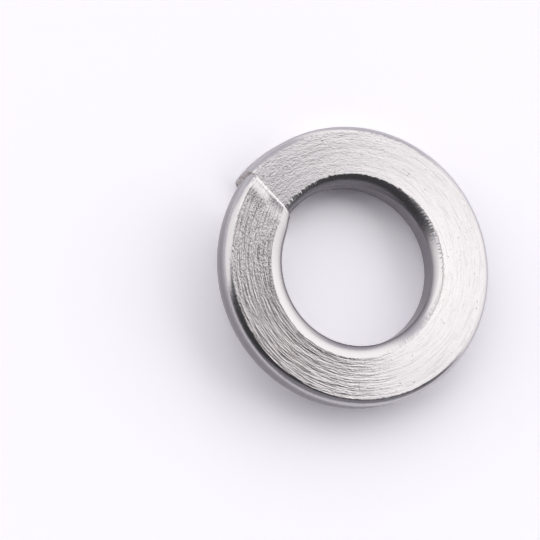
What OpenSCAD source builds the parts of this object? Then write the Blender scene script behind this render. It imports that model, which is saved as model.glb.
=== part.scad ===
// Spring lock washer: one wire section wound as a single left-hand turn and sheared across.
// Lengths are in millimetres and angles in degrees. The bore's axis is Z and the lowest edge lies at z = 0.

/* [Ring] */
// Outer diameter over the rounded rim
outer_d = 18; // [17:0.1:19.4]
// Bore diameter, clear of an M10 screw
bore_d = 10.35; // [10.2:0.05:10.9]
// Thickness of the wire section along the bore
thickness = 2.1; // [1.8:0.05:2.5]
// Drop of the wire's middle over one full turn
turn_drop = 2; // [1.2:0.1:3]

/* [Section] */
// Width of the rounding between a face and the bore
bore_edge_w = 0.7; // [0.4:0.02:0.9]
// Depth of the rounding between a face and the bore
bore_edge_h = 0.36; // [0.2:0.02:0.5]
// Width of the rounding between a face and the rim
rim_edge_w = 0.4; // [0.2:0.02:0.7]
// Depth of the rounding between a face and the rim
rim_edge_h = 0.35; // [0.2:0.02:0.5]
// Angle through which each rounding turns before it meets its wall at a crease
edge_sweep = 70; // [55:1:78]

/* [Split] */
// Direction of the split, seen from above
split_angle = 135; // [0:1:359]
// Gap between the two sheared ends, measured square to the cut
gap = 0.8; // [0.5:0.05:1.6]
// Distance by which the line of the cut misses the bore's axis
cut_offset = 1.33; // [0:0.05:2]
// Lean of the cut away from upright: the upper end overhangs the gap
cut_lean = 19; // [0:1:28]

/* [Hidden] */
// Steps of the wire around its turn, and steps around each rounding
turn_steps = 96;
edge_steps = 5;
// Steps by which a rounding runs on past its wall, and the share of the half wall it may take
steps_past = 4;
wall_share = 0.8;
bore_r = bore_d / 2;
rim_r = outer_d / 2;
mid_r = (bore_r + rim_r) / 2;
half_t = thickness / 2;
cut_slope = tan(cut_lean);
cut_turn = asin(cut_offset / mid_r);

// A rounding is part of an ellipse that starts level with the face and stops short of upright.
// Its points are given as [distance from the wall, depth below the face].
function edge_point(w, h, step) =
    let (turn = edge_sweep * step / edge_steps)
    [w * (1 - sin(turn) / sin(edge_sweep)), h * (1 - cos(turn)) / (1 - cos(edge_sweep))];

// Its last stretch runs straight on through the wall, which the trimming cylinder then cuts clean.
function edge_points(w, h) =
    let (
        before = edge_point(w, h, edge_steps - 1),
        crease = edge_point(w, h, edge_steps),
        run = min(steps_past, wall_share * (half_t - h) / (crease[1] - before[1]))
    )
    concat(
        [for (step = [0:edge_steps - 1]) edge_point(w, h, step)],
        [crease + run * (crease - before)]
    );

bore_edge = edge_points(bore_edge_w, bore_edge_h);
rim_edge = edge_points(rim_edge_w, rim_edge_h);

// The section as [radius, height] points: its upper half from bore to rim, then the lower half back.
upper_half = concat(
    [for (i = [edge_steps:-1:0]) [bore_r + bore_edge[i][0], half_t - bore_edge[i][1]]],
    [for (p = rim_edge) [rim_r - p[0], half_t - p[1]]]
);
half_count = len(upper_half);
section = concat(upper_half, [for (i = [half_count - 1:-1:0]) [upper_half[i][0], -upper_half[i][1]]]);
section_count = len(section);

// Turn from the split's middle at which a section point meets the cut plane of one end.
// The raised end has side 1 and the low end side -1; the second step keeps the cut flat.
function plane_turn(r, h, side) = asin((cut_offset + side * gap / 2 - cut_slope * h) / r) - cut_turn;
function end_turn(r, h, side) =
    plane_turn(r, h - turn_drop * plane_turn(r, h, side) / 360, side) + (side < 0 ? 360 : 0);

// The wire's middle drops evenly with the turn, which makes the coil left-handed.
// It is lifted so that the lowest edge, on the low end's underside, lies at z = 0.
function wire_height(turn) = turn_drop * (0.5 - turn / 360);
lift = half_t - wire_height(end_turn(bore_r + bore_edge_w, -half_t, -1));
function wire_point(r, h, turn) =
    [r * cos(split_angle + turn), r * sin(split_angle + turn), lift + wire_height(turn) + h];

wire_points = [
    for (step = [0:turn_steps])
        for (p = section)
            let (from = end_turn(p[0], p[1], 1), to = end_turn(p[0], p[1], -1))
            wire_point(p[0], p[1], from + (to - from) * step / turn_steps)
];

wire_faces = concat(
    [[for (i = [0:section_count - 1]) i]],
    [[for (i = [section_count - 1:-1:0]) turn_steps * section_count + i]],
    [
        for (step = [0:turn_steps - 1])
            for (i = [0:section_count - 1])
                let (a = step * section_count + i, b = step * section_count + (i + 1) % section_count)
                [a, a + section_count, b + section_count, b]
    ]
);

// A trimming cylinder passes the wire by half its thickness above and below.
module trim_cylinder(d) {
    translate([0, 0, -half_t])
        cylinder(d = d, h = turn_drop + 2 * thickness, $fn = 180);
}

module lock_washer() {
    color([0.72, 0.71, 0.71])
        difference() {
            intersection() {
                polyhedron(points = wire_points, faces = wire_faces, convexity = 6);
                trim_cylinder(outer_d);
            }
            trim_cylinder(bore_d);
        }
}

lock_washer();
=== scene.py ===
import math

import bmesh
import bpy
import numpy as np
from mathutils import Matrix, Vector


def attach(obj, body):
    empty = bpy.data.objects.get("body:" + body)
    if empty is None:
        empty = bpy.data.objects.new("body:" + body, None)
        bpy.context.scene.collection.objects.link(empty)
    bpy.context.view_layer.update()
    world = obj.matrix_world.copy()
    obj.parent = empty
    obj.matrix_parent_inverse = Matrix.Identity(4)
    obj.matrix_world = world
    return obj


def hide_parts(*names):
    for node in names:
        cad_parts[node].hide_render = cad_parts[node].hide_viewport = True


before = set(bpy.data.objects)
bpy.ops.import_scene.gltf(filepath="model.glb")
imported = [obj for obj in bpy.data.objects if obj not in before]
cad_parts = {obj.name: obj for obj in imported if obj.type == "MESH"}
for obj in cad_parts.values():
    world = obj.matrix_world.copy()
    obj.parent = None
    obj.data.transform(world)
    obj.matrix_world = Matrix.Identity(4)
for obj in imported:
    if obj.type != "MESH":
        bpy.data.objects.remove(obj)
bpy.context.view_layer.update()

# Everything is in metres in the part's frame: the bore's axis is Z and the lowest edge lies at z = 0.
MM = 0.001

# The washer's sizes, those of its drawing.
OUTER_D = 18 * MM
BORE_D = 10.35 * MM
THICKNESS = 2.1 * MM
TURN_DROP = 2 * MM
BORE_EDGE_W = 0.7 * MM
BORE_EDGE_H = 0.36 * MM
RIM_EDGE_W = 0.4 * MM
RIM_EDGE_H = 0.35 * MM
EDGE_SWEEP = math.radians(70)
SPLIT_ANGLE = math.radians(135)
GAP = 0.8 * MM
CUT_OFFSET = 1.33 * MM
CUT_SLOPE = math.tan(math.radians(19))
CUT_TURN = math.asin(CUT_OFFSET / ((BORE_D + OUTER_D) / 4))

# Node kinds that come up more than once.
MATH = "ShaderNodeMath"
VECTOR_MATH = "ShaderNodeVectorMath"
MAP_RANGE = "ShaderNodeMapRange"
MAPPING = "ShaderNodeMapping"
NOISE = "ShaderNodeTexNoise"
COMBINE = "ShaderNodeCombineXYZ"
SEPARATE = "ShaderNodeSeparateXYZ"
ATTRIBUTE = "ShaderNodeAttribute"
MIX = "ShaderNodeMix"
BUMP = "ShaderNodeBump"
PRINCIPLED = "ShaderNodeBsdfPrincipled"
MATERIAL_OUTPUT = "ShaderNodeOutputMaterial"
BACKGROUND = "ShaderNodeBackground"
STORE = "GeometryNodeStoreNamedAttribute"
READ = "GeometryNodeInputNamedAttribute"
SET_MATERIAL = "GeometryNodeSetMaterial"


def linear(hex_colour):
    """A written sRGB colour as the linear RGBA that nodes take."""
    parts = [int(hex_colour[i:i + 2], 16) / 255 for i in (1, 3, 5)]
    return [p / 12.92 if p <= 0.04045 else ((p + 0.055) / 1.055) ** 2.4 for p in parts] + [1]


def add(tree, kind, inputs=(), out=0, **settings):
    """Adds a node and returns its output out.

    inputs holds values, and outputs of other nodes, in the order of the node's sockets, or by their names."""
    node = tree.nodes.new(kind)
    for name, value in settings.items():
        setattr(node, name, value)
    for key, value in inputs.items() if isinstance(inputs, dict) else enumerate(inputs):
        if isinstance(value, bpy.types.NodeSocket):
            tree.links.new(value, node.inputs[key])
        else:
            node.inputs[key].default_value = value
    return node.outputs[out] if node.outputs else node


def new_material(name):
    material = bpy.data.materials.new(name)
    material.use_nodes = True
    material.node_tree.nodes.clear()
    return material, material.node_tree


# How the rolled skin changes along the wire. Each stretch is given by where it starts and ends, in
# millimetres from the raised end.
SHEAR_MARK_ENDS = (0.4, 1.2)
WRINKLES_GROW = (4, 8)
GREY_FADES = (11, 19)
WRINKLES_FADE = (13, 20)
# Stretches over which the painted shade in the crease at the bore comes and goes.
CREASE_SHADE_COMES = (18, 27)
CREASE_SHADE_GOES = (31, 35)
LOW_END_ROUGHENS = (28, 42)
# Radii between which the painted shade in the crease fades out, in millimetres.
CREASE_SHADE_RADII = (7, 8)


def rolled_steel():
    """Stainless steel, the faces of rolled flat wire: pale grey and brushed along the wire.

    The brushing breaks the soft boxes' mirror images into long, fine streaks, and where the wire was bent
    hardest, just past the raised end, coarser wrinkles make them look like wood grain."""
    material, tree = new_material("rolled_stainless_steel")
    wire = add(tree, ATTRIBUTE, out="Vector", attribute_name="wire_mm")
    # The streaks wander by up to 0.08 mm across the wire.
    wander = add(tree, NOISE, {
        "Vector": add(tree, MAPPING, {"Vector": wire, "Scale": (0.5, 1.2, 1)}), "Scale": 1, "Detail": 1})
    wander = add(tree, MATH, (wander, 0.16, -0.08), operation="MULTIPLY_ADD")
    wander = add(tree, VECTOR_MATH, (wire, add(tree, COMBINE, {"Y": wander})), operation="ADD")
    # Brushing 0.12 mm apart and 1.7 mm long, which is coarser than the real lines so that it shows.
    brushing = add(tree, NOISE, {
        "Vector": add(tree, MAPPING, {"Vector": wander, "Scale": (0.6, 8.5, 8.5)}),
        "Scale": 1, "Detail": 2, "Roughness": 0.6})
    # Wrinkles 0.3 mm apart and 2.5 mm long.
    wrinkles = add(tree, NOISE, {
        "Vector": add(tree, MAPPING, {"Vector": wander, "Scale": (0.4, 3.4, 1)}),
        "Scale": 1, "Detail": 2, "Roughness": 0.55})
    along = add(tree, SEPARATE, (wire,), out="X")
    # The relief is about ten times deeper where the wire was bent hardest.
    bent = add(tree, MAP_RANGE, {
        "Value": along, "From Min": WRINKLES_FADE[0], "From Max": WRINKLES_FADE[1],
        "To Min": 2.4, "To Max": 0.22}, interpolation_type="SMOOTHSTEP")
    # The shear pressed the last millimetre of the raised end smoother and cleaner.
    skin = add(tree, MAP_RANGE, {
        "Value": along, "From Min": SHEAR_MARK_ENDS[0], "From Max": SHEAR_MARK_ENDS[1],
        "To Min": 0.3, "To Max": 1}, interpolation_type="SMOOTHSTEP")
    bent = add(tree, MATH, (bent, skin), operation="MULTIPLY")
    # Grain of the rolled skin, 0.1 mm across, again coarser than the real one, and deeper near both ends.
    grain = add(tree, NOISE, {
        "Vector": add(tree, MAPPING, {"Vector": wire, "Scale": (7, 12, 12)}),
        "Scale": 1, "Detail": 1, "Roughness": 0.6})
    # The wrinkles grow over the first millimetres, where the grain shows more instead.
    grown = add(tree, MAP_RANGE, {
        "Value": along, "From Min": WRINKLES_GROW[0], "From Max": WRINKLES_GROW[1],
        "To Min": 0.35, "To Max": 0.9})
    height = add(tree, MATH, (wrinkles, grown, brushing), operation="MULTIPLY_ADD")
    height = add(tree, MATH, (height, bent), operation="MULTIPLY")
    rough = add(tree, MAP_RANGE, {
        "Value": along, "From Min": LOW_END_ROUGHENS[0], "From Max": LOW_END_ROUGHENS[1],
        "To Min": 0, "To Max": 0.6}, interpolation_type="SMOOTHSTEP")
    grainy = add(tree, MATH, (grown, -0.5, 0.8), operation="MULTIPLY_ADD")
    rough = add(tree, MATH, (bent, grainy, rough), operation="MULTIPLY_ADD")
    height = add(tree, MATH, (grain, rough, height), operation="MULTIPLY_ADD")
    bump = add(tree, BUMP, {"Height": height, "Strength": 1, "Distance": 0.014 * MM})
    # The bottoms of the brushing hold a little grey dirt, and the wrinkled stretch is greyer all over.
    dirt = add(tree, MAP_RANGE, {
        "Value": brushing, "From Min": 0.34, "From Max": 0.5, "To Min": 1, "To Max": 0})
    greyer = add(tree, MAP_RANGE, {
        "Value": along, "From Min": GREY_FADES[0], "From Max": GREY_FADES[1],
        "To Min": 0.6, "To Max": 0}, interpolation_type="SMOOTHSTEP")
    greyer = add(tree, MATH, (greyer, skin), operation="MULTIPLY")
    dirt = add(tree, MATH, (dirt, add(tree, MATH, (greyer, 0.25), operation="ADD")), operation="MULTIPLY")
    dirt = add(tree, MATH, (greyer, 0.55, dirt), operation="MULTIPLY_ADD")
    colour = add(tree, MIX, {
        "Factor": dirt, "A": linear("#d1cecf"), "B": linear("#a6a1a1")}, out="Result", data_type="RGBA")
    # Specks of brown scale stay in the skin.
    specks = add(tree, NOISE, {
        "Vector": add(tree, MAPPING, {"Vector": wire, "Scale": (5, 7, 7)}), "Scale": 1, "Detail": 1})
    specks = add(tree, MAP_RANGE, {"Value": specks, "From Min": 0.73, "From Max": 0.79, "To Max": 0.8})
    colour = add(tree, MIX, {
        "Factor": specks, "A": colour, "B": linear("#7d7068")}, out="Result", data_type="RGBA")
    # A dark line of painted shade lies in the crease along the face's edge at the bore, and fades out both
    # ways.
    edge = add(tree, MAP_RANGE, {
        "Value": add(tree, ATTRIBUTE, out="Fac", attribute_name="crease"),
        "From Min": 0.45, "From Max": 0.95, "To Min": 0, "To Max": 0.8})
    radius = add(tree, SEPARATE, (wire,), out="Y")
    for value, (clean, dirty) in (
            (along, CREASE_SHADE_COMES), (along, CREASE_SHADE_GOES[::-1]), (radius, CREASE_SHADE_RADII[::-1])):
        edge = add(tree, MATH, (edge, add(tree, MAP_RANGE, {
            "Value": value, "From Min": clean, "From Max": dirty})), operation="MULTIPLY")
    colour = add(tree, MIX, {
        "Factor": edge, "A": colour, "B": linear("#5a5453")}, out="Result", data_type="RGBA")
    roughness = add(tree, MAP_RANGE, {
        "Value": grain, "From Min": 0.3, "From Max": 0.7, "To Min": 0.17, "To Max": 0.25})
    shader = add(tree, PRINCIPLED, {
        "Base Color": colour, "Metallic": 1, "Roughness": roughness, "Normal": bump})
    add(tree, MATERIAL_OUTPUT, {"Surface": shader})
    return material


def drawn_steel():
    """Stainless steel shaped by the edge rolls: bright and smooth on the roundings, rougher on the walls.

    The roundings mirror the soft boxes as clean bands, and the walls only blur them. The walls and the bore's
    lower roundings are also painted darker, a painted shade that stands in for the shadowed floor and
    neighbours they would mirror."""
    material, tree = new_material("drawn_stainless_steel")
    wire = add(tree, ATTRIBUTE, out="Vector", attribute_name="wire_mm")
    # Drawing lines 0.1 mm apart and several millimetres long, and pits 0.15 mm across.
    lines = add(tree, NOISE, {
        "Vector": add(tree, MAPPING, {"Vector": wire, "Scale": (0.25, 10, 10)}),
        "Scale": 1, "Detail": 3, "Roughness": 0.6})
    pits = add(tree, NOISE, {
        "Vector": add(tree, MAPPING, {"Vector": wire, "Scale": (5, 7, 7)}),
        "Scale": 1, "Detail": 1, "Roughness": 0.6})
    height = add(tree, MATH, (pits, 0.6, lines), operation="MULTIPLY_ADD")
    bump = add(tree, BUMP, {"Height": height, "Strength": 1, "Distance": 0.006 * MM})
    # "wall" is 0 where a rounding leaves the face, and from 0.85 on the steel is fully rough and fully
    # darkened by painted shade, which stands in for the shadowed floor it would mirror. The bore's roundings
    # reach that before their wall, and the rim's only inside theirs.
    rough_and_shaded = add(tree, MAP_RANGE, {
        "Value": add(tree, ATTRIBUTE, out="Fac", attribute_name="wall"),
        "From Min": 0, "From Max": 0.85}, interpolation_type="SMOOTHSTEP")
    colour = add(tree, MIX, {
        "Factor": rough_and_shaded, "A": linear("#c4c2c3"), "B": linear("#918d92")}, out="Result", data_type="RGBA")
    roughness = add(tree, MAP_RANGE, {"Value": rough_and_shaded, "To Min": 0.14, "To Max": 0.3})
    roughness = add(tree, MATH, (pits, 0.08, roughness), operation="MULTIPLY_ADD")
    shader = add(tree, PRINCIPLED, {
        "Base Color": colour, "Metallic": 1, "Roughness": roughness, "Normal": bump})
    add(tree, MATERIAL_OUTPUT, {"Surface": shader})
    return material


def sheared_steel():
    """Stainless steel broken off in a shear: grainy, dull and mottled, with no mirror image left."""
    material, tree = new_material("sheared_stainless_steel")
    place = add(tree, "ShaderNodeTexCoord", out="Object")
    # Torn grain 0.2 mm across.
    grain = add(tree, NOISE, {"Vector": place, "Scale": 5 / MM, "Detail": 3, "Roughness": 0.65})
    bump = add(tree, BUMP, {"Height": grain, "Strength": 1, "Distance": 0.09 * MM})
    mottled = add(tree, MAP_RANGE, {"Value": grain, "From Min": 0.38, "From Max": 0.62})
    colour = add(tree, MIX, {
        "Factor": mottled, "A": linear("#7f7a78"), "B": linear("#dcd7d5")}, out="Result", data_type="RGBA")
    roughness = add(tree, MAP_RANGE, {"Value": grain, "To Min": 0.5, "To Max": 0.38})
    shader = add(tree, PRINCIPLED, {
        "Base Color": colour, "Metallic": 1, "Roughness": roughness, "Normal": bump})
    add(tree, MATERIAL_OUTPUT, {"Surface": shader})
    return material


# Above this share a point counts as lying wholly on the upper face, on either face or on a crease.
MARKED = 0.99

# Steps of the section's grid: down each rounding, across the face and down the wall.
ROUND_STEPS = 8
FLAT_STEPS = 26
WALL_STEPS = 12
# The face's first and last columns are this share of its width, so that they have room for the fringe.
EDGE_SHARE = 0.07
# A rounding is part of an ellipse, from this turn to EDGE_SWEEP. So it leaves the face at a slight
# crease and meets the wall at a sharper one.
EDGE_START = math.radians(12)


def rounding(step):
    """How far out and how far down a rounding has come: shares of its width and of its depth."""
    turn = EDGE_START + (EDGE_SWEEP - EDGE_START) * step / ROUND_STEPS
    return ((math.sin(EDGE_SWEEP) - math.sin(turn)) / (math.sin(EDGE_SWEEP) - math.sin(EDGE_START)),
            (math.cos(EDGE_START) - math.cos(turn)) / (math.cos(EDGE_START) - math.cos(EDGE_SWEEP)))


def section_mesh():
    """The section as a grid of quads, from bore to rim and from the upper face to the lower one.

    Each vertex says how the named sizes place it. "across" has its share of the way from bore to rim,
    of the bore rounding's width and of the rim rounding's width. "upward" has its share of the half
    thickness and of the two roundings' depths. "flat" marks the faces, and "crease" every ridge."""
    columns = []
    for step in range(ROUND_STEPS, 0, -1):
        out, down = rounding(step)
        columns.append(((0, out, 0), (down, 0), 0, step == ROUND_STEPS))
    for t in (0, *np.linspace(EDGE_SHARE, 1 - EDGE_SHARE, FLAT_STEPS - 1), 1):
        columns.append(((t, 1 - t, t), (0, 0), 1, t in (0, 1)))
    for step in range(1, ROUND_STEPS + 1):
        out, down = rounding(step)
        columns.append(((1, 0, out), (0, down), 0, step == ROUND_STEPS))
    across, upward, flat, crease, places = [], [], [], [], []
    for (s, b, r), (db, dr), is_flat, is_crease in columns:
        radius = BORE_D / 2 + s * (OUTER_D - BORE_D) / 2 + b * BORE_EDGE_W - r * RIM_EDGE_W
        for row in range(WALL_STEPS + 1):
            up = 1 - 2 * row / WALL_STEPS
            on_face = row in (0, WALL_STEPS)
            across.append((s, b, r))
            upward.append((up, db, dr))
            flat.append(is_flat * on_face)
            crease.append(is_crease * on_face)
            places.append((radius, 0, up * (THICKNESS / 2 - db * BORE_EDGE_H - dr * RIM_EDGE_H)))
    rows = WALL_STEPS + 1
    corners = [i * rows + j for i in range(len(columns) - 1) for j in range(WALL_STEPS)]
    mesh = bpy.data.meshes.new("wire_section")
    mesh.from_pydata(places, [], [(a, a + 1, a + rows + 1, a + rows) for a in corners])
    for name, values in (("across", across), ("upward", upward)):
        mesh.attributes.new(name, "FLOAT_VECTOR", "POINT").data.foreach_set(
            "vector", np.array(values, float).ravel())
    for name, values in (("flat", flat), ("crease", crease)):
        mesh.attributes.new(name, "FLOAT", "POINT").data.foreach_set("value", np.array(values, float))
    return mesh


def plane_turn(radius, height, side):
    """Turn from the split's middle at which a section point meets the cut plane of one end."""
    return math.asin((CUT_OFFSET + side * GAP / 2 - CUT_SLOPE * height) / radius) - CUT_TURN


def end_turn(radius, height, side):
    """Turn at which the wire itself meets that plane, with the height it has lost by then."""
    level = height - TURN_DROP * plane_turn(radius, height, side) / math.tau
    return plane_turn(radius, level, side) + (math.tau if side < 0 else 0)


# The wire is lifted so that the lowest edge of its low end stands at z = 0.
LIFT = THICKNESS / 2 - TURN_DROP * (
    0.5 - end_turn(BORE_D / 2 + BORE_EDGE_W, -THICKNESS / 2, -1) / math.tau)

# The bore's rounding is wider where the wire was bent hardest: share of the turn, width against the mean.
BORE_EDGE_ROUND_TURN = ((0, 1.05), (0.08, 1.12), (0.26, 1.23), (0.38, 1.1), (0.5, 0.8), (0.6, 0.86),
                        (0.75, 1.0), (0.9, 1.0), (0.97, 0.86), (1, 0.86))

# Shares of the turn over which the fringe grows, the dish flattens, and the torn skin of each end goes.
FRINGE_GROWS = (0.3, 0.6)
DISH_FLATTENS = (0.32, 0.46)
TORN_SHARE = 0.02

# How fast the swell falls off on both sides of its crest.
SWELL_FALL = 1.8

# The steps stand closer together by this share at both ends, and as much further apart in the middle.
END_CROWDING = 0.4
STEPS = {"Turn Steps": 840}
SIZES = {
    "Outer Diameter": OUTER_D, "Bore Diameter": BORE_D, "Thickness": THICKNESS, "Turn Drop": TURN_DROP,
    "Bore Edge Width": BORE_EDGE_W, "Bore Edge Depth": BORE_EDGE_H,
    "Rim Edge Width": RIM_EDGE_W, "Rim Edge Depth": RIM_EDGE_H,
    "Split Angle": SPLIT_ANGLE, "Gap": GAP, "Cut Offset": CUT_OFFSET, "Cut Slope": CUT_SLOPE,
    "Cut Turn": CUT_TURN, "Lift": LIFT,
    # Marks of rolling: ragged face edges, long ripples, and a face that rises towards the bore.
    "Fringe": 0.52 * MM, "Relief": 0.012 * MM,
    "Dish": 0.028 * MM, "Dish Inner Radius": 5.9 * MM, "Dish Outer Radius": 7.2 * MM,
    # Marks of shearing: the raised end's face swells towards the rim, curls up towards the bore and ends
    # in a rolled-over burr, both ends are torn, and the raised one's inner corner is dragged outwards.
    "Swell": 0.04 * MM, "Swell Reach": 0.6 * MM, "Swell Inner Radius": 6.8 * MM,
    "Swell Outer Radius": 7.6 * MM, "Curl": 0.012 * MM, "Curl Reach": 0.3 * MM,
    "Burr": 0.12 * MM, "Lip": 0.03 * MM, "Lip Reach": 0.1 * MM, "Tear": 0.14 * MM,
    "Drag": 0.22 * MM, "Drag Reach": 1.3 * MM,
    "Seed": 3.0,
}


def coil_tree(finishes):
    """The wire's section swept once round, its ends sheared slantwise."""
    tree = bpy.data.node_groups.new("spring_washer_coil", "GeometryNodeTree")
    tree.interface.new_socket("Section", in_out="INPUT", socket_type="NodeSocketGeometry")
    for name in SIZES:
        tree.interface.new_socket(name, in_out="INPUT", socket_type="NodeSocketFloat")
    for name in STEPS:
        tree.interface.new_socket(name, in_out="INPUT", socket_type="NodeSocketInt")
    for name in finishes:
        tree.interface.new_socket(name, in_out="INPUT", socket_type="NodeSocketMaterial")
    tree.interface.new_socket("Washer", in_out="OUTPUT", socket_type="NodeSocketGeometry")
    size = tree.nodes.new("NodeGroupInput").outputs

    # The section's outline is carried once round, and the section itself closes both ends.
    path = add(tree, "GeometryNodeCurveSpiral", {
        "Resolution": size["Turn Steps"], "Rotations": 1, "Start Radius": 1, "End Radius": 1, "Height": 0})
    along = add(tree, "GeometryNodeSplineParameter", out="Factor")
    # The steps stand closer together at both ends, where the edges are finest.
    wave = add(tree, MATH, (add(tree, MATH, (along, math.tau), operation="MULTIPLY"),), operation="SINE")
    path = add(tree, STORE, {
        "Geometry": path, "Name": "share",
        "Value": add(tree, MATH, (wave, -END_CROWDING / math.tau, along), operation="MULTIPLY_ADD")},
        data_type="FLOAT", domain="POINT")
    on_outline = add(tree, "FunctionNodeCompare", {
        2: add(tree, "GeometryNodeInputMeshEdgeNeighbors"), 3: 1}, data_type="INT", operation="EQUAL")
    outline = add(tree, "GeometryNodeMeshToCurve", {"Mesh": size["Section"], "Selection": on_outline})
    parts = [add(tree, "GeometryNodeCurveToMesh", {"Curve": path, "Profile Curve": outline})]
    for end in (0.0, 1.0):
        part = add(tree, STORE, {"Geometry": size["Section"], "Name": "share", "Value": end},
                   data_type="FLOAT", domain="POINT")
        parts.append(add(tree, STORE, {"Geometry": part, "Name": "sheared", "Value": 1.0},
                         data_type="FLOAT", domain="FACE"))
    coil = add(tree, "GeometryNodeJoinGeometry")
    for part in parts:
        tree.links.new(part, coil.node.inputs[0])

    share = add(tree, READ, {"Name": "share"}, data_type="FLOAT")
    across = add(tree, READ, {"Name": "across"}, data_type="FLOAT_VECTOR")
    upward = add(tree, READ, {"Name": "upward"}, data_type="FLOAT_VECTOR")
    flat = add(tree, READ, {"Name": "flat"}, data_type="FLOAT")
    crease = add(tree, READ, {"Name": "crease"}, data_type="FLOAT")
    up = add(tree, SEPARATE, (upward,), out="X")

    # Radius and height of a section point, from the named sizes.
    bore_r = add(tree, MATH, (size["Bore Diameter"], 0.5), operation="MULTIPLY")
    rim_r = add(tree, MATH, (size["Outer Diameter"], 0.5), operation="MULTIPLY")
    half_t = add(tree, MATH, (size["Thickness"], 0.5), operation="MULTIPLY")
    widening = add(tree, "ShaderNodeFloatCurve", {"Value": share})
    curve = widening.node.mapping.curves[0]
    for place, width in BORE_EDGE_ROUND_TURN[1:-1]:
        curve.points.new(place, width / 2)
    for point, (place, width) in ((0, BORE_EDGE_ROUND_TURN[0]), (-1, BORE_EDGE_ROUND_TURN[-1])):
        curve.points[point % len(curve.points)].location = (place, width / 2)
    widening.node.mapping.update()
    bore_edge = add(tree, MATH, (
        add(tree, MATH, (widening, 2), operation="MULTIPLY"), size["Bore Edge Width"]), operation="MULTIPLY")
    widths = add(tree, COMBINE, {
        "X": add(tree, MATH, (rim_r, bore_r), operation="SUBTRACT"), "Y": bore_edge,
        "Z": add(tree, MATH, (size["Rim Edge Width"], -1), operation="MULTIPLY")})
    radius = add(tree, MATH, (bore_r, add(
        tree, VECTOR_MATH, (across, widths), out="Value", operation="DOT_PRODUCT")), operation="ADD")
    depths = add(tree, COMBINE, {"Y": size["Bore Edge Depth"], "Z": size["Rim Edge Depth"]})
    down = add(tree, VECTOR_MATH, (upward, depths), out="Value", operation="DOT_PRODUCT")
    height = add(tree, MATH, (
        up, add(tree, MATH, (half_t, down), operation="SUBTRACT")), operation="MULTIPLY")

    # Place on the wire in millimetres: along it, out from the bore's axis and up from its middle.
    arc = add(tree, MATH, (add(tree, MATH, (bore_r, rim_r), operation="ADD"), math.pi), operation="MULTIPLY")
    arc = add(tree, MATH, (arc, share), operation="MULTIPLY")
    wire_place = add(tree, VECTOR_MATH, {
        0: add(tree, COMBINE, {"X": arc, "Y": radius, "Z": height}), "Scale": 1 / MM}, operation="SCALE")

    # The rolls left a fringe along the faces' edges, its teeth 0.15 mm apart. They point outwards more
    # than inwards, and are longer on the far side and along the bore's roundings.
    teeth = add(tree, NOISE, {
        "Vector": add(tree, VECTOR_MATH, (wire_place, (6.5, 1, 1)), operation="MULTIPLY"),
        "W": size["Seed"], "Scale": 1, "Detail": 2, "Roughness": 0.6}, noise_dimensions="4D")
    teeth = add(tree, MATH, (teeth, 0.45), operation="SUBTRACT")
    reach = add(tree, MAP_RANGE, {
        "Value": share, "From Min": FRINGE_GROWS[0], "From Max": FRINGE_GROWS[1],
        "To Min": 0.4, "To Max": 1}, interpolation_type="SMOOTHSTEP")
    reach = add(tree, MATH, (add(tree, MATH, (flat, crease), operation="MULTIPLY"), reach),
                operation="MULTIPLY")
    at_rim = add(tree, MATH, (add(tree, SEPARATE, (across,), out="X"), -0.6, 1), operation="MULTIPLY_ADD")
    reach = add(tree, MATH, (reach, at_rim), operation="MULTIPLY")
    reach = add(tree, MATH, (reach, size["Fringe"]), operation="MULTIPLY")
    radius = add(tree, MATH, (teeth, reach, radius), operation="MULTIPLY_ADD")

    # The shear dragged the raised end's inner corner outwards, away from the bore.
    dragged = add(tree, MAP_RANGE, {
        "Value": arc, "From Min": 0, "From Max": size["Drag Reach"], "To Min": 1, "To Max": 0})
    dragged = add(tree, MATH, (dragged, add(tree, MATH, (
        1, add(tree, SEPARATE, (across,), out="X")), operation="SUBTRACT")), operation="MULTIPLY")
    dragged = add(tree, MATH, (dragged, 2), operation="POWER")
    radius = add(tree, MATH, (dragged, size["Drag"], radius), operation="MULTIPLY_ADD")

    # The rolls also left the faces wavy, in long ripples about 0.5 mm apart, and the upper one higher
    # towards the bore, most of all near the raised end.
    on_top = add(tree, MATH, (up, MARKED), operation="GREATER_THAN")
    ripples = add(tree, NOISE, {
        "Vector": add(tree, VECTOR_MATH, (wire_place, (0.25, 2.2, 1)), operation="MULTIPLY"),
        "W": size["Seed"], "Scale": 1, "Detail": 3, "Roughness": 0.6}, noise_dimensions="4D")
    ripples = add(tree, MATH, (add(tree, MATH, (ripples, 0.5), operation="SUBTRACT"), size["Relief"]),
                  operation="MULTIPLY")
    inward = add(tree, MAP_RANGE, {
        "Value": radius, "From Min": size["Dish Outer Radius"], "From Max": size["Dish Inner Radius"]})
    inward = add(tree, MATH, (add(tree, MATH, (inward, 2), operation="POWER"), on_top),
                 operation="MULTIPLY")
    inward = add(tree, MATH, (inward, add(tree, MAP_RANGE, {
        "Value": share, "From Min": DISH_FLATTENS[0], "From Max": DISH_FLATTENS[1],
        "To Min": 1, "To Max": 0.3})), operation="MULTIPLY")
    relief = add(tree, MATH, (inward, size["Dish"], ripples), operation="MULTIPLY_ADD")
    relief = add(tree, MATH, (relief, flat), operation="MULTIPLY")
    height = add(tree, MATH, (relief, up, height), operation="MULTIPLY_ADD")

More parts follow.
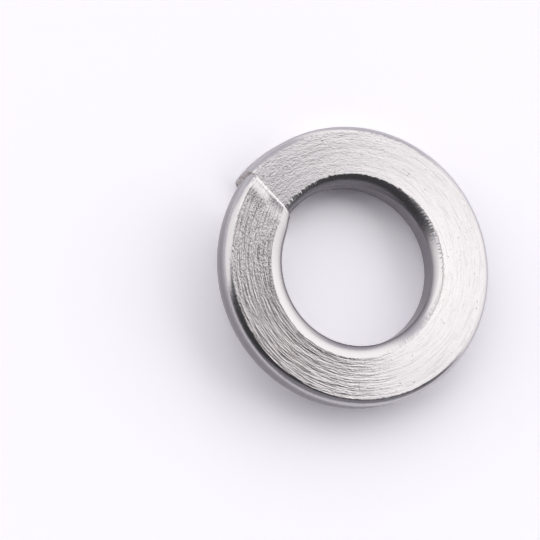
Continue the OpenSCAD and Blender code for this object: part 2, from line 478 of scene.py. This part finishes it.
    # Each end lies in a leaning plane that misses the axis; its turn follows from radius and height.
    turns = []
    for side in (1, -1):
        offset = add(tree, MATH, (size["Gap"], side / 2, size["Cut Offset"]), operation="MULTIPLY_ADD")
        turn = 0.0
        for _ in range(2):
            fallen = add(tree, MATH, (size["Turn Drop"], turn), operation="MULTIPLY")
            level = add(tree, MATH, (fallen, -1 / math.tau, height), operation="MULTIPLY_ADD")
            leaning = add(tree, MATH, (size["Cut Slope"], level), operation="MULTIPLY")
            sine = add(tree, MATH, (
                add(tree, MATH, (offset, leaning), operation="SUBTRACT"), radius), operation="DIVIDE")
            turn = add(tree, MATH, (add(tree, MATH, (sine,), operation="ARCSINE"), size["Cut Turn"]),
                       operation="SUBTRACT")
        turns.append(turn if side > 0 else add(tree, MATH, (turn, math.tau), operation="ADD"))
    turn = add(tree, MATH, (
        share, add(tree, MATH, (turns[1], turns[0]), operation="SUBTRACT"), turns[0]),
        operation="MULTIPLY_ADD")

    # The ends are torn, in lumps of about 0.3 mm, the low one more than the raised one.
    near_low = add(tree, MAP_RANGE, {"Value": share, "From Min": 1 - TORN_SHARE, "From Max": 1},
                   interpolation_type="SMOOTHSTEP")
    near_raised = add(tree, MAP_RANGE, {
        "Value": share, "From Min": 0, "From Max": TORN_SHARE, "To Min": 0.2, "To Max": 0},
        interpolation_type="SMOOTHSTEP")
    torn = add(tree, NOISE, {
        "Vector": add(tree, VECTOR_MATH, (wire_place, (0, 1, 1)), operation="MULTIPLY"),
        "W": add(tree, MATH, (share, size["Seed"]), operation="ADD"),
        "Scale": 3, "Detail": 4, "Roughness": 0.6}, noise_dimensions="4D")
    torn = add(tree, MATH, (add(tree, MATH, (torn, 0.5), operation="SUBTRACT"), size["Tear"]),
               operation="MULTIPLY")
    torn = add(tree, MATH, (torn, add(tree, MATH, (near_low, near_raised), operation="ADD")),
               operation="MULTIPLY")
    turn = add(tree, MATH, (turn, add(tree, MATH, (torn, radius), operation="DIVIDE")), operation="ADD")

    # The shear pressed the raised end's upper face. Near the rim it swells, near the bore it curls up, and
    # its edge is drawn out into a burr.
    from_cut = add(tree, MATH, (
        add(tree, MATH, (turn, turns[0]), operation="SUBTRACT"), radius), operation="MULTIPLY")
    near_rim = add(tree, MAP_RANGE, {
        "Value": radius, "From Min": size["Swell Inner Radius"], "From Max": size["Swell Outer Radius"]},
        interpolation_type="SMOOTHSTEP")
    crest = add(tree, MATH, (
        add(tree, MATH, (from_cut, size["Swell Reach"]), operation="DIVIDE"), 1), operation="SUBTRACT")
    swell = add(tree, MATH, (
        add(tree, MATH, (crest, crest), operation="MULTIPLY"), -SWELL_FALL), operation="MULTIPLY")
    swell = add(tree, MATH, (add(tree, MATH, (swell,), operation="EXPONENT"), size["Swell"]),
                operation="MULTIPLY")
    swell = add(tree, MATH, (swell, near_rim), operation="MULTIPLY")
    curl = add(tree, MATH, (add(tree, MATH, (
        1, add(tree, MATH, (from_cut, size["Curl Reach"]), operation="DIVIDE")), operation="SUBTRACT"), 0),
        operation="MAXIMUM")
    curl = add(tree, MATH, (add(tree, MATH, (curl, 2), operation="POWER"), size["Curl"]),
               operation="MULTIPLY")
    curl = add(tree, MATH, (curl, add(tree, MATH, (1, near_rim), operation="SUBTRACT")),
               operation="MULTIPLY")
    drawn = add(tree, MATH, (add(tree, MATH, (
        1, add(tree, MATH, (from_cut, size["Burr"]), operation="DIVIDE")), operation="SUBTRACT"), 0),
        operation="MAXIMUM")
    drawn = add(tree, MATH, (drawn, size["Burr"]), operation="MULTIPLY")
    # How far a point lies from the burr's rim, and how far that rim is rolled over.
    from_rim = add(tree, MATH, (
        size["Burr"], add(tree, MATH, (from_cut, drawn), operation="SUBTRACT")), operation="ADD")
    lip = add(tree, MATH, (add(tree, MATH, (
        1, add(tree, MATH, (from_rim, size["Lip Reach"]), operation="DIVIDE")), operation="SUBTRACT"), 0),
        operation="MAXIMUM")
    lip = add(tree, MATH, (lip, size["Lip"]), operation="MULTIPLY")
    drawn = add(tree, MATH, (add(tree, MATH, (drawn, on_top), operation="MULTIPLY"), radius),
                operation="DIVIDE")
    turn = add(tree, MATH, (turn, drawn), operation="SUBTRACT")
    pressed = add(tree, MATH, (add(tree, MATH, (swell, curl), operation="ADD"), lip), operation="SUBTRACT")
    height = add(tree, MATH, (pressed, on_top, height), operation="MULTIPLY_ADD")

    # The wire's middle drops evenly with the turn, which makes the coil left-handed.
    turned = add(tree, MATH, (turn, -1 / math.tau, 0.5), operation="MULTIPLY_ADD")
    level = add(tree, MATH, (
        size["Turn Drop"], turned, add(tree, MATH, (size["Lift"], height), operation="ADD")),
        operation="MULTIPLY_ADD")
    bearing = add(tree, MATH, (size["Split Angle"], turn), operation="ADD")
    place = add(tree, COMBINE, {
        "X": add(tree, MATH, (radius, add(tree, MATH, (bearing,), operation="COSINE")), operation="MULTIPLY"),
        "Y": add(tree, MATH, (radius, add(tree, MATH, (bearing,), operation="SINE")), operation="MULTIPLY"),
        "Z": level})
    # "wall" says for the finish how far down its rounding a point lies, or how far inside the wall, and so
    # how much roughness and painted shade it gets. The rim's roundings get less of that painted shade than
    # the bore's.
    wall = add(tree, VECTOR_MATH, (upward, (0, 1, 0.4)), out="Value", operation="DOT_PRODUCT")
    inside = add(tree, MATH, (1, add(tree, MATH, (up,), operation="ABSOLUTE")), operation="SUBTRACT")
    wall = add(tree, MATH, (inside, 0.5, wall), operation="MULTIPLY_ADD")
    coil = add(tree, STORE, {"Geometry": coil, "Name": "wire_mm", "Value": wire_place},
               data_type="FLOAT_VECTOR", domain="POINT")
    coil = add(tree, STORE, {"Geometry": coil, "Name": "wall", "Value": wall},
               data_type="FLOAT", domain="POINT")
    coil = add(tree, "GeometryNodeSetPosition", {"Geometry": coil, "Position": place})
    coil = add(tree, "GeometryNodeMergeByDistance", {"Geometry": coil, "Distance": 0.0005 * MM})
    coil = add(tree, "GeometryNodeRealizeInstances", {"Geometry": coil})

    on_face = add(tree, MATH, (add(
        tree, "GeometryNodeFieldOnDomain", (flat,), data_type="FLOAT", domain="FACE"), MARKED),
        operation="GREATER_THAN")
    on_end = add(tree, MATH, (add(tree, READ, {"Name": "sheared"}, data_type="FLOAT"), 0.5),
                 operation="GREATER_THAN")
    for name, where in zip(finishes, (True, on_face, on_end)):
        coil = add(tree, SET_MATERIAL, {"Geometry": coil, "Selection": where, "Material": size[name]})
    add(tree, "NodeGroupOutput", {"Washer": coil})
    return tree


# An edge stays sharp from this angle on, and one along a crease from the smaller one.
SHARP_EDGE = math.radians(35)
SHARP_RIDGE = math.radians(8)


def make_washer():
    finishes = {"Drawn Finish": drawn_steel(), "Rolled Finish": rolled_steel(),
                "Sheared Finish": sheared_steel()}
    section = bpy.data.objects.new("wire_section", section_mesh())
    bpy.context.scene.collection.objects.link(section)
    modifier = section.modifiers.new("coil", "NODES")
    modifier.node_group = coil_tree(finishes)
    sockets = {s.name: s.identifier for s in modifier.node_group.interface.items_tree
               if s.in_out == "INPUT"}
    for name, value in {**SIZES, **STEPS, **finishes}.items():
        modifier[sockets[name]] = value
    graph = bpy.context.evaluated_depsgraph_get()
    mesh = bpy.data.meshes.new_from_object(
        section.evaluated_get(graph), preserve_all_data_layers=True, depsgraph=graph)
    section.modifiers.remove(modifier)
    bpy.data.objects.remove(section)
    mesh.name = "washer_wire"
    # The sweep leaves an empty material slot before the three finishes.
    while mesh.materials[0] is None:
        mesh.materials.pop(index=0)
    washer = bpy.data.objects.new("washer_wire", mesh)
    bpy.context.scene.collection.objects.link(washer)

    # Faces are turned outwards, and the creases stay sharp.
    work = bmesh.new()
    work.from_mesh(mesh)
    bmesh.ops.recalc_face_normals(work, faces=work.faces)
    crease = work.verts.layers.float.get("crease")
    for edge in work.edges:
        angle = edge.calc_face_angle(0)
        ridge = all(v[crease] > MARKED for v in edge.verts)
        edge.smooth = angle < (SHARP_RIDGE if ridge else SHARP_EDGE)
    for face in work.faces:
        face.smooth = True
    work.to_mesh(mesh)
    work.free()
    return washer


washer = make_washer()
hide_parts("lock_washer")
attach(washer, "root")


# How much paler the card looks than the light alone would make it, and half its width.
FLOOR_LIFT = 0.34
FLOOR_REACH = 600 * MM


def make_floor():
    """A sheet of white card. It reads as white, and it keeps the washer's soft shadow."""
    material, tree = new_material("white_card")
    path = add(tree, "ShaderNodeLightPath").node.outputs
    seen = add(tree, MATH, (path["Is Camera Ray"], path["Is Glossy Ray"]), operation="ADD")
    seen = add(tree, MATH, (seen, path["Is Transmission Ray"]), operation="ADD")
    lift = add(tree, MATH, (seen, FLOOR_LIFT, 1), operation="MULTIPLY_ADD")
    colour = add(tree, VECTOR_MATH, {0: linear("#f5f4f9")[:3], "Scale": lift}, operation="SCALE")
    card = add(tree, "ShaderNodeBsdfDiffuse", {"Color": colour})
    add(tree, MATERIAL_OUTPUT, {"Surface": card})
    mesh = bpy.data.meshes.new("floor")
    corners = [(x * FLOOR_REACH, y * FLOOR_REACH, 0) for x, y in ((-1, -1), (1, -1), (1, 1), (-1, 1))]
    mesh.from_pydata(corners, [], [(0, 1, 2, 3)])
    mesh.materials.append(material)
    floor = bpy.data.objects.new("floor", mesh)
    bpy.context.scene.collection.objects.link(floor)


# The soft boxes of the light tent: brightness, then the edges. Each edge is given by the bearing that its
# lit side faces, how far it lies from straight up that way (as a sine), and the half width of its fade.
SOFT_BOXES = (
    # to the north, its dimmer tails below it and to the north-west, and the white wall behind them
    (1.75, ((73, 0.128, 0.06), (232, -0.468, 0.05), (0, -0.36, 0.1), (180, -0.05, 0.08))),
    (1.24, ((90, 0.03, 0.04), (270, -0.52, 0.06), (0, -0.05, 0.08))),
    (1.4, ((100, 0.138, 0.06), (232, -0.468, 0.05), (270, -0.74, 0.08), (180, -0.05, 0.08))),
    (0.85, ((85, 0.42, 0.15),)),
    # to the east, where its lower half is dimmer, and the white wall below it
    (1.66, ((62, 0.256, 0.045), (0, 0.21, 0.09), (223, -0.88, 0.08), (180, -0.95, 0.05))),
    (1.45, ((19, 0.385, 0.05), (65, -0.048, 0.07), (223, -0.88, 0.08), (180, -0.95, 0.05))),
    (1.45, ((5, 0.8, 0.12),)),
    # a weak glow to the south
    (0.35, ((275, 0.58, 0.08),)),
)


# Brightness where no soft box stands, and that of the white walls at the horizon.
ROOM_LIGHT = 0.06
WALL_LIGHT = 0.95
# Heights at which the walls end, and below which they shine in full, as sines.
WALL_TOP = 0.5
WALL_FULL = 0.1
# The way to the walls' darker side.
DARKER_SIDE = (-0.9, -0.42, 0)


def make_world():
    """A dim room with two large soft boxes, one to the north and one to the east."""
    world = bpy.data.worlds.new("light_tent")
    world.use_nodes = True
    tree = world.node_tree
    tree.nodes.clear()
    direction = add(tree, "ShaderNodeTexCoord", out="Generated")
    boxes = ROOM_LIGHT
    for brightness, edges in SOFT_BOXES:
        box = brightness
        for bearing, reach, fade in edges:
            way = (math.cos(math.radians(bearing)), math.sin(math.radians(bearing)), 0)
            across = add(tree, VECTOR_MATH, (direction, way), out="Value", operation="DOT_PRODUCT")
            inside = add(tree, MAP_RANGE, {
                "Value": across, "From Min": reach - fade, "From Max": reach + fade},
                interpolation_type="SMOOTHSTEP")
            box = add(tree, MATH, (box, inside), operation="MULTIPLY")
        boxes = add(tree, MATH, (boxes, box), operation="MAXIMUM")
    # White walls all round, low down, darker to the south-west.
    low = add(tree, MAP_RANGE, {
        "Value": add(tree, SEPARATE, (direction,), out="Z"), "From Min": WALL_TOP,
        "From Max": WALL_FULL, "To Min": 0, "To Max": WALL_LIGHT}, interpolation_type="SMOOTHSTEP")
    side = add(tree, VECTOR_MATH, (direction, DARKER_SIDE), out="Value", operation="DOT_PRODUCT")
    side = add(tree, MAP_RANGE, {
        "Value": side, "From Min": 0.3, "From Max": 0.9, "To Min": 1, "To Max": 0.4},
        interpolation_type="SMOOTHSTEP")
    walls = add(tree, MATH, (low, side), operation="MULTIPLY")
    boxes = add(tree, MATH, (boxes, walls), operation="MAXIMUM")
    # The boxes shine a little warmer than the walls, whose cool light tints the shadows.
    warm = add(tree, MAP_RANGE, {"Value": boxes, "From Min": 0.9, "From Max": 1.3})
    colour = add(tree, MIX, {
        "Factor": warm, "A": linear("#f5f2fd"), "B": linear("#fffdfd")}, out="Result", data_type="RGBA")
    light = add(tree, BACKGROUND, {"Color": colour, "Strength": boxes})
    plain = add(tree, BACKGROUND, {"Color": linear("#fbfafd"), "Strength": 1})
    seen = add(tree, "ShaderNodeLightPath", out="Is Camera Ray")
    add(tree, "ShaderNodeOutputWorld", {"Surface": add(tree, "ShaderNodeMixShader", (seen, light, plain))})
    bpy.context.scene.world = world


# The camera: its angle from straight down, the bearing it stands at, its roll and its distance.
CAMERA_TILT = math.radians(19.88)
CAMERA_BEARING = math.radians(194.78)
CAMERA_ROLL = math.radians(-10.91)
CAMERA_DISTANCE = 250 * MM
# Focal length, frame and the aim's place in it, in pixels, and the point on the bore's axis that it aims at.
FOCAL_PX = 3967.75
FRAME_PX = 540
AIM_PX = (357.39, 264.44)
AIM = Vector((0, 0, 3.061 * MM))
SENSOR_WIDTH_MM = 36


def make_camera():
    """Looks steeply down on the washer from a little south of west, with a long lens."""
    back = Vector((math.sin(CAMERA_TILT) * math.cos(CAMERA_BEARING),
                   math.sin(CAMERA_TILT) * math.sin(CAMERA_BEARING), math.cos(CAMERA_TILT)))
    up = (Vector((0, 1, 0)) - back * back.y).normalized()
    right = up.cross(back)
    roll = (math.cos(CAMERA_ROLL), math.sin(CAMERA_ROLL))
    right, up = roll[0] * right + roll[1] * up, roll[0] * up - roll[1] * right
    turn = Matrix((right, up, back)).transposed()
    aside = Vector(((AIM_PX[0] - FRAME_PX / 2) / FOCAL_PX, (FRAME_PX / 2 - AIM_PX[1]) / FOCAL_PX, -1))
    data = bpy.data.cameras.new("camera")
    data.sensor_width = SENSOR_WIDTH_MM
    data.lens = FOCAL_PX * data.sensor_width / FRAME_PX
    data.clip_start = 0.01
    camera = bpy.data.objects.new("camera", data)
    camera.matrix_world = Matrix.Translation(AIM - turn @ (aside * CAMERA_DISTANCE)) @ turn.to_4x4()
    bpy.context.scene.collection.objects.link(camera)
    bpy.context.scene.camera = camera


make_floor()
make_world()
make_camera()
bpy.context.scene.view_settings.view_transform = "Standard"
